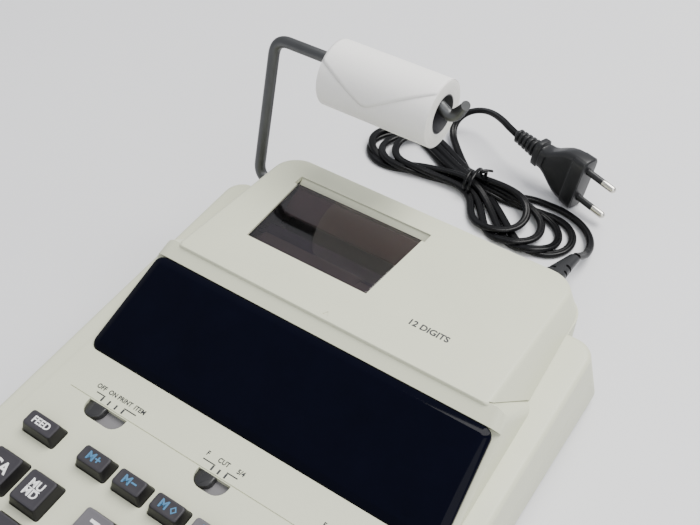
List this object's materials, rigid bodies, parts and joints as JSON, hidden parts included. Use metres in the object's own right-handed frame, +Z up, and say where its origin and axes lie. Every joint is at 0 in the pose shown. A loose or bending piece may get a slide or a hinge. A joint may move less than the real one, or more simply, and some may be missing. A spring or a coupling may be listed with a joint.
{
  "type": "printing desk calculator",
  "caption": "Printing desk calculator: wedge case with sprung keys, slide switches, tinted display, lift-off printer cover, paper roll on a folding wire holder, and a tied mains lead.",
  "frame": {"origin": "middle of the machine's box without the mains lead, on the surface that the rubber feet stand on", "axes": "+X to the user's right, +Y to the rear, where the roll and the lead are, +Z up"},
  "size_m": [0.197, 0.4686, 0.1269],
  "materials": {
    "casing": "fine spark texture, semi-matt, light grey-green ivory",
    "display_lens": "polished near-black tinted acrylic",
    "smoked_window": "polished brown-grey tinted clear plastic",
    "dark_key": "fine satin charcoal moulding with a dished top",
    "grey_key": "fine satin mid grey moulding with a dished top",
    "switch": "satin black moulding",
    "rubber": "matt black rubber",
    "circuit_board": "green solder mask",
    "display_glass": "clear glass tube",
    "winding": "enamelled copper winding on a laminated core",
    "printer_metal": "bright zinc-plated sheet steel",
    "ink": "inked foam",
    "gear_plastic": "natural acetal",
    "black_plastic": "satin black PVC and nylon mouldings",
    "lead": "satin black PVC sheath",
    "pin_metal": "bright nickel plate",
    "holder_wire": "grey zinc-phosphated steel wire",
    "paper": "smooth white paper"
  },
  "bodies": {
    "case": {"lower_case": "casing", "upper_case": "casing", "display_lens": "display_lens", "foot_front_left": "rubber", "foot_front_right": "rubber", "foot_rear_left": "rubber", "foot_rear_right": "rubber", "main_board": "circuit_board", "key_board": "circuit_board", "display_tube": "display_glass", "transformer": "winding", "ac_inlet": "black_plastic", "printer_frame": "printer_metal", "printer_motor": "printer_metal", "cord_connector": "black_plastic", "connector_lead": "lead", "cord_hank": "lead", "cord_tie": "lead", "plug_lead": "lead", "plug_body": "black_plastic", "plug_pin_left": "pin_metal", "plug_pin_right": "pin_metal"},
    "cover": {"printer_cover": "casing", "cover_window": "smoked_window"},
    "holder": {"roll_holder": "holder_wire"},
    "roll": {"paper_roll": "paper"},
    "drum": {"type_drum": "printer_metal"},
    "ink": {"ink_roller": "ink"},
    "platen": {"platen_roller": "rubber"},
    "pinion": {"motor_pinion": "gear_plastic"},
    "mode_switch": {"mode_switch_knob": "switch"},
    "rounding_switch": {"rounding_switch_knob": "switch"},
    "decimal_switch": {"decimal_switch_knob": "switch"},
    "feed_button": {"feed_key": "dark_key"},
    "memory_plus_button": {"memory_plus_key": "dark_key"},
    "memory_minus_button": {"memory_minus_key": "dark_key"},
    "memory_subtotal_button": {"memory_subtotal_key": "dark_key"},
    "memory_total_button": {"memory_total_key": "grey_key"},
    "clear_all_button": {"clear_all_key": "dark_key"},
    "mark_up_button": {"mark_up_key": "dark_key"},
    "clear_button": {"clear_key": "dark_key"},
    "percent_button": {"percent_key": "dark_key"},
    "digit_0_button": {"digit_0_key": "grey_key"},
    "digit_1_button": {"digit_1_key": "grey_key"},
    "digit_2_button": {"digit_2_key": "grey_key"},
    "digit_3_button": {"digit_3_key": "grey_key"},
    "digit_4_button": {"digit_4_key": "grey_key"},
    "digit_5_button": {"digit_5_key": "grey_key"},
    "digit_6_button": {"digit_6_key": "grey_key"},
    "digit_7_button": {"digit_7_key": "grey_key"},
    "digit_8_button": {"digit_8_key": "grey_key"},
    "digit_9_button": {"digit_9_key": "grey_key"},
    "decimal_point_button": {"decimal_point_key": "grey_key"},
    "divide_button": {"divide_key": "dark_key"},
    "multiply_button": {"multiply_key": "dark_key"},
    "minus_button": {"minus_key": "dark_key"},
    "plus_button": {"plus_key": "dark_key"},
    "equals_button": {"equals_key": "dark_key"}
  },
  "joints": [
    {"name": "cover_lift", "type": "slide", "parent": "case", "child": "cover", "axis": [0, 0, 1], "range_m": [0, 0.025]},
    {"name": "holder_fold", "type": "hinge", "parent": "case", "child": "holder", "pos_m": [0, 0.1367, 0.046], "axis": [1, 0, 0], "range_deg": [-70, 0]},
    {"name": "roll_spin", "type": "hinge", "parent": "holder", "child": "roll", "pos_m": [-0.0311, 0.1542, 0.1113], "axis": [1, 0, 0], "continuous": true},
    {"name": "motor_spin", "type": "hinge", "parent": "case", "child": "pinion", "pos_m": [0.02, 0.1022, 0.01785], "axis": [1, 0, 0], "continuous": true},
    {"name": "drum_spin", "type": "hinge", "parent": "case", "child": "drum", "pos_m": [0, 0.1022, 0.036], "axis": [1, 0, 0], "continuous": true},
    {"name": "ink_spin", "type": "hinge", "parent": "case", "child": "ink", "pos_m": [0, 0.1022, 0.0486], "axis": [1, 0, 0], "continuous": true},
    {"name": "platen_spin", "type": "hinge", "parent": "case", "child": "platen", "pos_m": [0, 0.1198, 0.04], "axis": [1, 0, 0], "continuous": true},
    {"name": "mode_switch_slide", "type": "slide", "parent": "case", "child": "mode_switch", "axis": [1, 0, 0], "range_m": [0, 0.0102]},
    {"name": "rounding_switch_slide", "type": "slide", "parent": "case", "child": "rounding_switch", "axis": [1, 0, 0], "range_m": [0, 0.0067]},
    {"name": "decimal_switch_slide", "type": "slide", "parent": "case", "child": "decimal_switch", "axis": [1, 0, 0], "range_m": [0, 0.0114]},
    {"name": "feed_press", "type": "slide", "parent": "case", "child": "feed_button", "axis": [0, 0.1064, -0.9943], "range_m": [0, 0.003], "stiffness_N_per_m": 250, "springref_m": -0.002},
    {"name": "memory_plus_press", "type": "slide", "parent": "case", "child": "memory_plus_button", "axis": [0, 0.1064, -0.9943], "range_m": [0, 0.003], "stiffness_N_per_m": 250, "springref_m": -0.002},
    {"name": "memory_minus_press", "type": "slide", "parent": "case", "child": "memory_minus_button", "axis": [0, 0.1064, -0.9943], "range_m": [0, 0.003], "stiffness_N_per_m": 250, "springref_m": -0.002},
    {"name": "memory_subtotal_press", "type": "slide", "parent": "case", "child": "memory_subtotal_button", "axis": [0, 0.1064, -0.9943], "range_m": [0, 0.003], "stiffness_N_per_m": 250, "springref_m": -0.002},
    {"name": "memory_total_press", "type": "slide", "parent": "case", "child": "memory_total_button", "axis": [0, 0.1064, -0.9943], "range_m": [0, 0.003], "stiffness_N_per_m": 250, "springref_m": -0.002},
    {"name": "clear_all_press", "type": "slide", "parent": "case", "child": "clear_all_button", "axis": [0, 0.1064, -0.9943], "range_m": [0, 0.003], "stiffness_N_per_m": 250, "springref_m": -0.002},
    {"name": "mark_up_press", "type": "slide", "parent": "case", "child": "mark_up_button", "axis": [0, 0.1064, -0.9943], "range_m": [0, 0.003], "stiffness_N_per_m": 250, "springref_m": -0.002},
    {"name": "clear_press", "type": "slide", "parent": "case", "child": "clear_button", "axis": [0, 0.1064, -0.9943], "range_m": [0, 0.003], "stiffness_N_per_m": 250, "springref_m": -0.002},
    {"name": "percent_press", "type": "slide", "parent": "case", "child": "percent_button", "axis": [0, 0.1064, -0.9943], "range_m": [0, 0.003], "stiffness_N_per_m": 250, "springref_m": -0.002},
    {"name": "digit_0_press", "type": "slide", "parent": "case", "child": "digit_0_button", "axis": [0, 0.1064, -0.9943], "range_m": [0, 0.003], "stiffness_N_per_m": 250, "springref_m": -0.002},
    {"name": "digit_1_press", "type": "slide", "parent": "case", "child": "digit_1_button", "axis": [0, 0.1064, -0.9943], "range_m": [0, 0.003], "stiffness_N_per_m": 250, "springref_m": -0.002},
    {"name": "digit_2_press", "type": "slide", "parent": "case", "child": "digit_2_button", "axis": [0, 0.1064, -0.9943], "range_m": [0, 0.003], "stiffness_N_per_m": 250, "springref_m": -0.002},
    {"name": "digit_3_press", "type": "slide", "parent": "case", "child": "digit_3_button", "axis": [0, 0.1064, -0.9943], "range_m": [0, 0.003], "stiffness_N_per_m": 250, "springref_m": -0.002},
    {"name": "digit_4_press", "type": "slide", "parent": "case", "child": "digit_4_button", "axis": [0, 0.1064, -0.9943], "range_m": [0, 0.003], "stiffness_N_per_m": 250, "springref_m": -0.002},
    {"name": "digit_5_press", "type": "slide", "parent": "case", "child": "digit_5_button", "axis": [0, 0.1064, -0.9943], "range_m": [0, 0.003], "stiffness_N_per_m": 250, "springref_m": -0.002},
    {"name": "digit_6_press", "type": "slide", "parent": "case", "child": "digit_6_button", "axis": [0, 0.1064, -0.9943], "range_m": [0, 0.003], "stiffness_N_per_m": 250, "springref_m": -0.002},
    {"name": "digit_7_press", "type": "slide", "parent": "case", "child": "digit_7_button", "axis": [0, 0.1064, -0.9943], "range_m": [0, 0.003], "stiffness_N_per_m": 250, "springref_m": -0.002},
    {"name": "digit_8_press", "type": "slide", "parent": "case", "child": "digit_8_button", "axis": [0, 0.1064, -0.9943], "range_m": [0, 0.003], "stiffness_N_per_m": 250, "springref_m": -0.002},
    {"name": "digit_9_press", "type": "slide", "parent": "case", "child": "digit_9_button", "axis": [0, 0.1064, -0.9943], "range_m": [0, 0.003], "stiffness_N_per_m": 250, "springref_m": -0.002},
    {"name": "decimal_point_press", "type": "slide", "parent": "case", "child": "decimal_point_button", "axis": [0, 0.1064, -0.9943], "range_m": [0, 0.003], "stiffness_N_per_m": 250, "springref_m": -0.002},
    {"name": "divide_press", "type": "slide", "parent": "case", "child": "divide_button", "axis": [0, 0.1064, -0.9943], "range_m": [0, 0.003], "stiffness_N_per_m": 250, "springref_m": -0.002},
    {"name": "multiply_press", "type": "slide", "parent": "case", "child": "multiply_button", "axis": [0, 0.1064, -0.9943], "range_m": [0, 0.003], "stiffness_N_per_m": 250, "springref_m": -0.002},
    {"name": "minus_press", "type": "slide", "parent": "case", "child": "minus_button", "axis": [0, 0.1064, -0.9943], "range_m": [0, 0.003], "stiffness_N_per_m": 250, "springref_m": -0.002},
    {"name": "plus_press", "type": "slide", "parent": "case", "child": "plus_button", "axis": [0, 0.1064, -0.9943], "range_m": [0, 0.003], "stiffness_N_per_m": 250, "springref_m": -0.002},
    {"name": "equals_press", "type": "slide", "parent": "case", "child": "equals_button", "axis": [0, 0.1064, -0.9943], "range_m": [0, 0.003], "stiffness_N_per_m": 250, "springref_m": -0.002}
  ],
  "couplings": [
    {"joint": "drum_spin", "follows": "motor_spin", "ratio": -0.5},
    {"joint": "ink_spin", "follows": "motor_spin", "ratio": 0.7}
  ]
}
